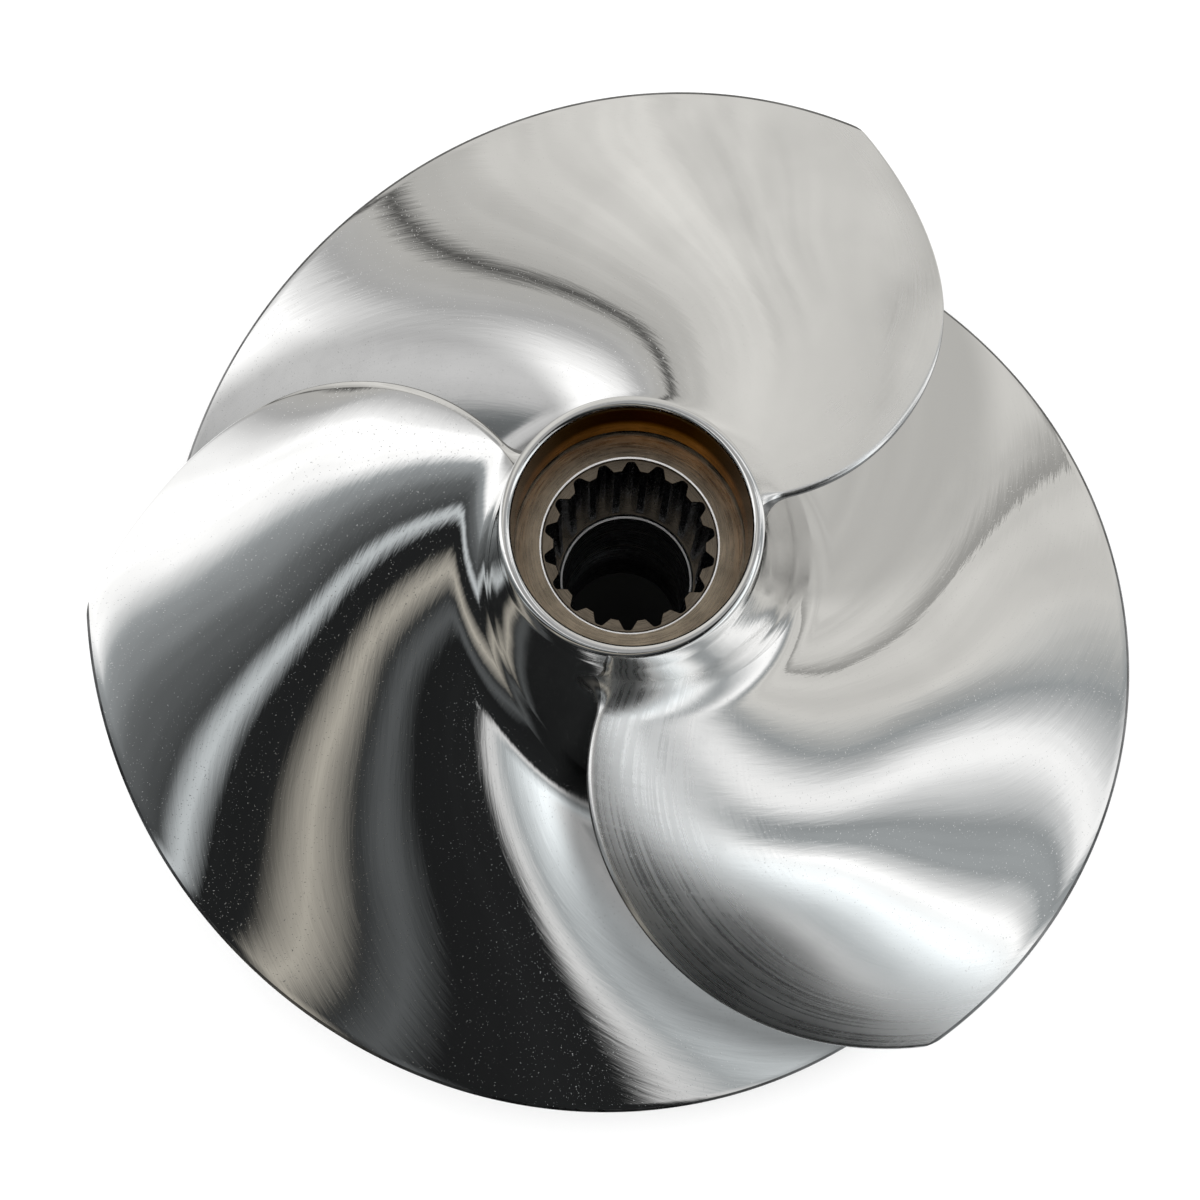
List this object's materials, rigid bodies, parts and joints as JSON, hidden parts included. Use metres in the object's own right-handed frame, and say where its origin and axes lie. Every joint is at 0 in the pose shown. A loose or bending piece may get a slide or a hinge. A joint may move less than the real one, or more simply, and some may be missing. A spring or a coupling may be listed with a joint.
{
  "type": "pump impeller",
  "caption": "Mixed-flow water-jet pump impeller in polished steel: flared hub with long wrapped blades, splined socket at the inlet and a threaded bore from the rear.",
  "frame": {"origin": "middle of the hub's rear face, which is the bottom centre of the part", "axes": "+Z along the shaft axis, from the rear (outlet) to the rim at the inlet; +X through the leading tip corner of the first blade"},
  "size_m": [0.1552, 0.1552, 0.096],
  "materials": {
    "polished_steel": "mirror polished, with turned faces in the bores"
  },
  "bodies": {
    "root": {"impeller": "polished_steel"}
  },
  "joints": []
}
